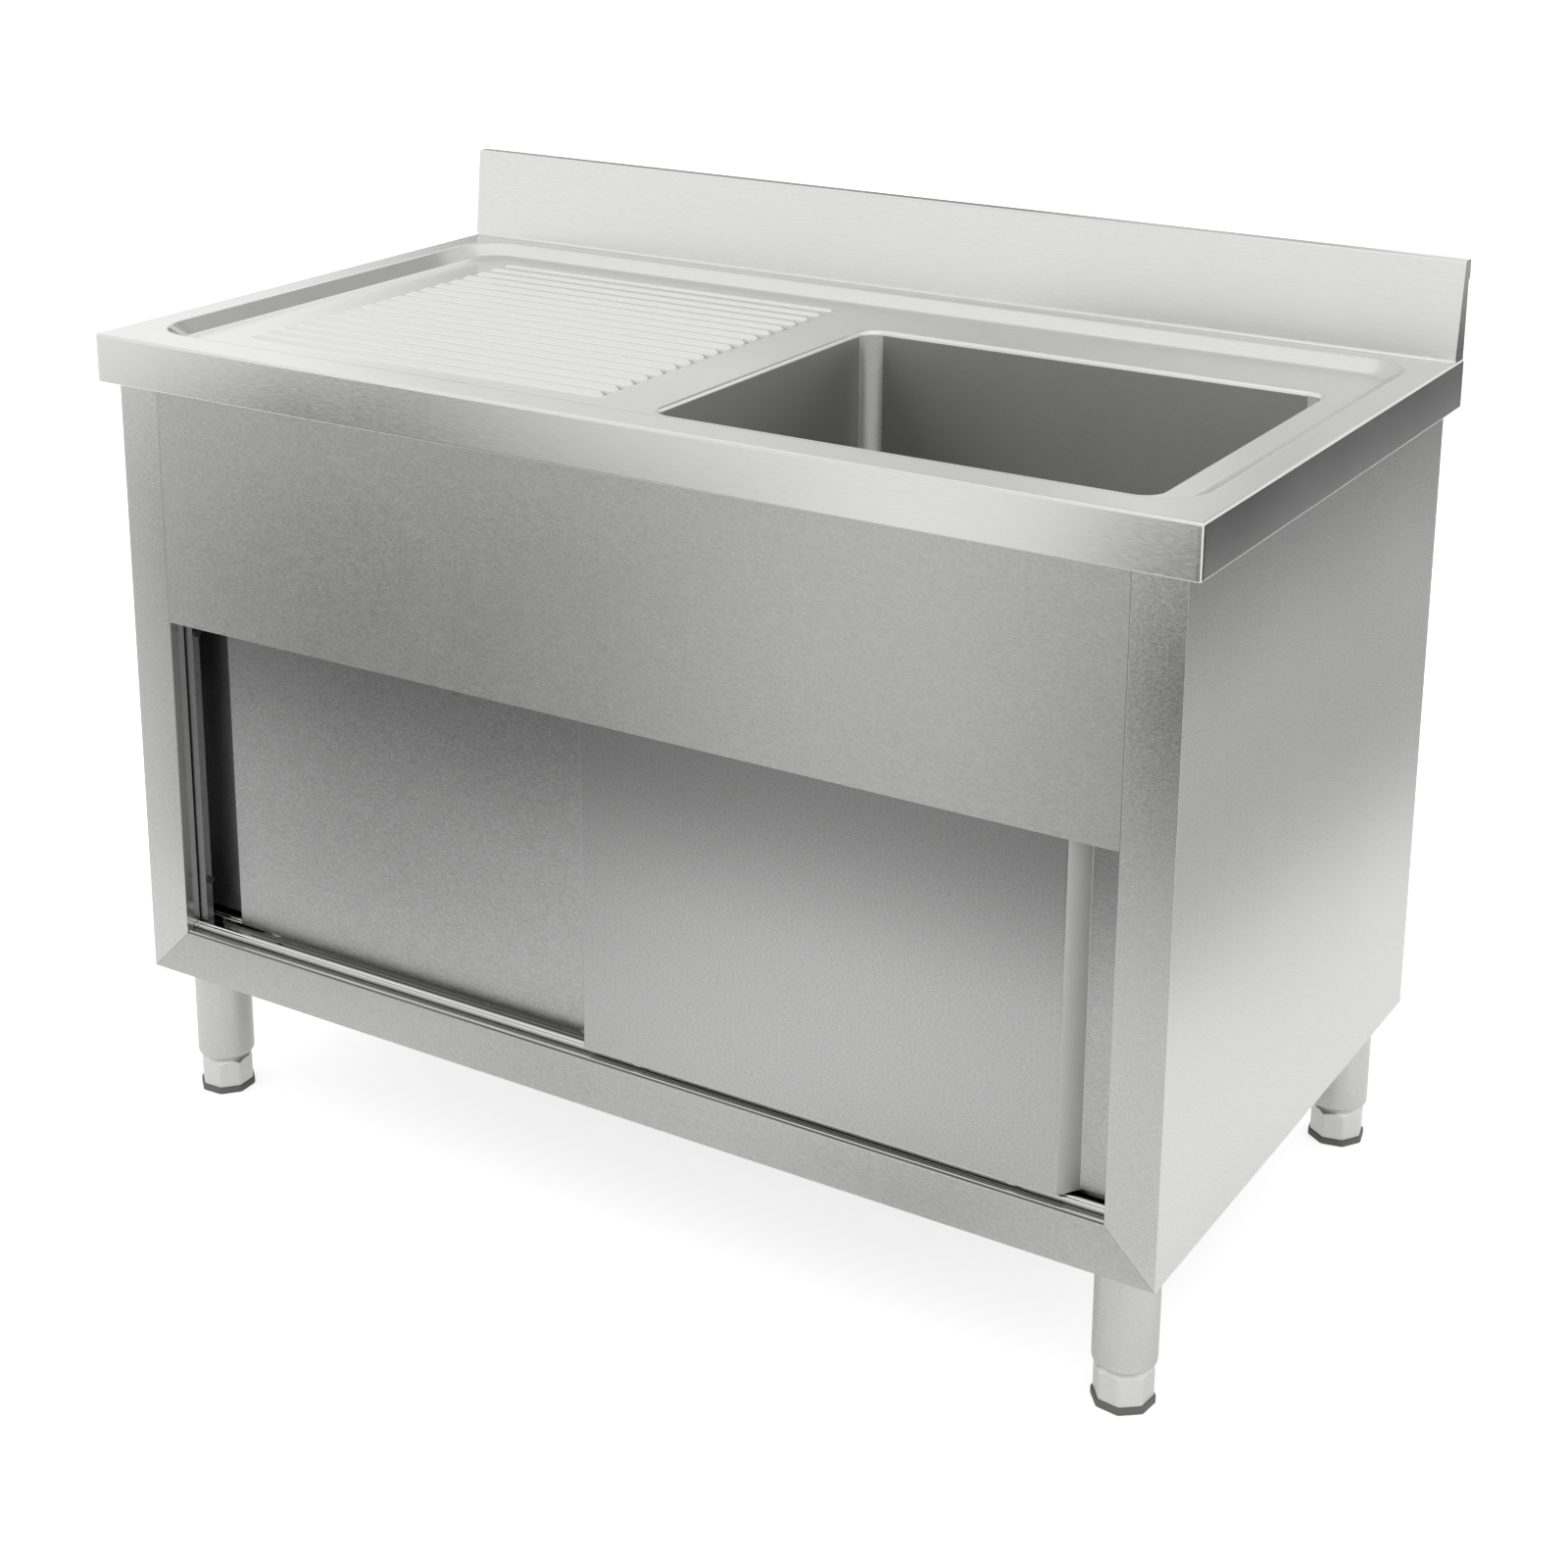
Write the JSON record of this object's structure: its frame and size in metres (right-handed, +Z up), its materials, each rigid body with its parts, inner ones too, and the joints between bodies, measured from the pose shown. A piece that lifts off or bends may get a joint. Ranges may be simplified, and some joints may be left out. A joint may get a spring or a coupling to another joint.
{
  "type": "laboratory sink unit",
  "caption": "Floor-standing stainless sink cabinet with ribbed drainboard, deep bowl, rear upstand, sliding doors and screw-adjustable feet.",
  "frame": {"origin": "middle of the unit's footprint, on the floor", "axes": "+X to the right along the worktop, +Y to the wall behind, +Z up; the doors face -Y"},
  "size_m": [1.2, 0.65, 0.95],
  "materials": {
    "worktop_steel": "satin stainless sheet",
    "bowl_steel": "satin stainless, ground welds",
    "cabinet_steel": "fine-grained satin stainless sheet",
    "door_steel": "fine-grained satin stainless sheet",
    "inner_steel": "plain mill-finish stainless sheet",
    "track_steel": "polished stainless",
    "leg_steel": "satin stainless tube",
    "foot_metal": "matt die-cast",
    "pad_rubber": "moulded, dark grey",
    "buffer_rubber": "moulded, black",
    "nylon": "moulded, off-white",
    "axle_steel": "turned pin",
    "waste_chrome": "polished",
    "basket_steel": "pressed stainless",
    "pipe_plastic": "moulded, white"
  },
  "bodies": {
    "carcass": {"worktop": "worktop_steel", "splash_end_left": "worktop_steel", "splash_end_right": "worktop_steel", "bowl": "bowl_steel", "waste_flange": "waste_chrome", "waste_gasket": "buffer_rubber", "waste_locknut": "pipe_plastic", "waste_tailpiece": "pipe_plastic", "drainboard_stiffeners": "inner_steel", "left_side_panel": "cabinet_steel", "right_side_panel": "cabinet_steel", "left_post": "cabinet_steel", "right_post": "cabinet_steel", "bottom_rail": "cabinet_steel", "apron": "cabinet_steel", "back_panel": "inner_steel", "rear_top_rail": "inner_steel", "rear_bottom_rail": "inner_steel", "bottom_shelf": "inner_steel", "shelf_stiffeners": "inner_steel", "corner_gussets": "inner_steel", "lower_track": "track_steel", "upper_guide": "inner_steel", "leg_inserts": "foot_metal", "left_jamb_filler": "cabinet_steel", "left_closing_channel": "inner_steel", "left_opening_buffers": "buffer_rubber", "left_closing_buffers": "buffer_rubber", "right_jamb_filler": "cabinet_steel", "right_closing_channel": "inner_steel", "right_opening_buffers": "buffer_rubber", "right_closing_buffers": "buffer_rubber", "front_left_leg": "leg_steel", "front_right_leg": "leg_steel", "rear_left_leg": "leg_steel", "rear_right_leg": "leg_steel"},
    "left_door": {"left_door_skin": "door_steel", "left_door_liner": "inner_steel", "left_door_roller_housings": "inner_steel", "left_door_axles": "axle_steel", "left_door_top_guides": "nylon"},
    "right_door": {"right_door_skin": "door_steel", "right_door_liner": "inner_steel", "right_door_roller_housings": "inner_steel", "right_door_axles": "axle_steel", "right_door_top_guides": "nylon"},
    "left_inner_roller": {"left_door_inner_roller": "nylon"},
    "left_outer_roller": {"left_door_outer_roller": "nylon"},
    "right_inner_roller": {"right_door_inner_roller": "nylon"},
    "right_outer_roller": {"right_door_outer_roller": "nylon"},
    "front_left_foot": {"front_left_foot": "foot_metal", "front_left_foot_pad": "pad_rubber"},
    "front_right_foot": {"front_right_foot": "foot_metal", "front_right_foot_pad": "pad_rubber"},
    "rear_left_foot": {"rear_left_foot": "foot_metal", "rear_left_foot_pad": "pad_rubber"},
    "rear_right_foot": {"rear_right_foot": "foot_metal", "rear_right_foot_pad": "pad_rubber"},
    "basket": {"strainer_basket": "basket_steel"}
  },
  "joints": [
    {"name": "left_door_slide", "type": "slide", "parent": "carcass", "child": "left_door", "axis": [1, 0, 0], "range_m": [0, 0.4997]},
    {"name": "right_door_slide", "type": "slide", "parent": "carcass", "child": "right_door", "axis": [-1, 0, 0], "range_m": [0, 0.4997]},
    {"name": "left_inner_roller_spin", "type": "hinge", "parent": "left_door", "child": "left_inner_roller", "pos_m": [-0.04, -0.2685, 0.2173], "axis": [0, 1, 0], "range_deg": [0, 3460]},
    {"name": "left_outer_roller_spin", "type": "hinge", "parent": "left_door", "child": "left_outer_roller", "pos_m": [-0.44, -0.2685, 0.2173], "axis": [0, 1, 0], "range_deg": [0, 3460]},
    {"name": "right_inner_roller_spin", "type": "hinge", "parent": "right_door", "child": "right_inner_roller", "pos_m": [0.04, -0.2955, 0.2173], "axis": [0, -1, 0], "range_deg": [0, 3460]},
    {"name": "right_outer_roller_spin", "type": "hinge", "parent": "right_door", "child": "right_outer_roller", "pos_m": [0.44, -0.2955, 0.2173], "axis": [0, -1, 0], "range_deg": [0, 3460]},
    {"name": "front_left_foot_height", "type": "slide", "parent": "carcass", "child": "front_left_foot", "axis": [0, 0, -1], "range_m": [0, 0.025]},
    {"name": "front_right_foot_height", "type": "slide", "parent": "carcass", "child": "front_right_foot", "axis": [0, 0, -1], "range_m": [0, 0.025]},
    {"name": "rear_left_foot_height", "type": "slide", "parent": "carcass", "child": "rear_left_foot", "axis": [0, 0, -1], "range_m": [0, 0.025]},
    {"name": "rear_right_foot_height", "type": "slide", "parent": "carcass", "child": "rear_right_foot", "axis": [0, 0, -1], "range_m": [0, 0.025]},
    {"name": "basket_lift", "type": "slide", "parent": "carcass", "child": "basket", "axis": [0, 0, 1], "range_m": [0, 0.27]}
  ],
  "couplings": [
    {"joint": "left_inner_roller_spin", "follows": "left_door_slide", "rad_per_m": 120.48},
    {"joint": "left_outer_roller_spin", "follows": "left_door_slide", "rad_per_m": 120.48},
    {"joint": "right_inner_roller_spin", "follows": "right_door_slide", "rad_per_m": 120.48},
    {"joint": "right_outer_roller_spin", "follows": "right_door_slide", "rad_per_m": 120.48}
  ]
}
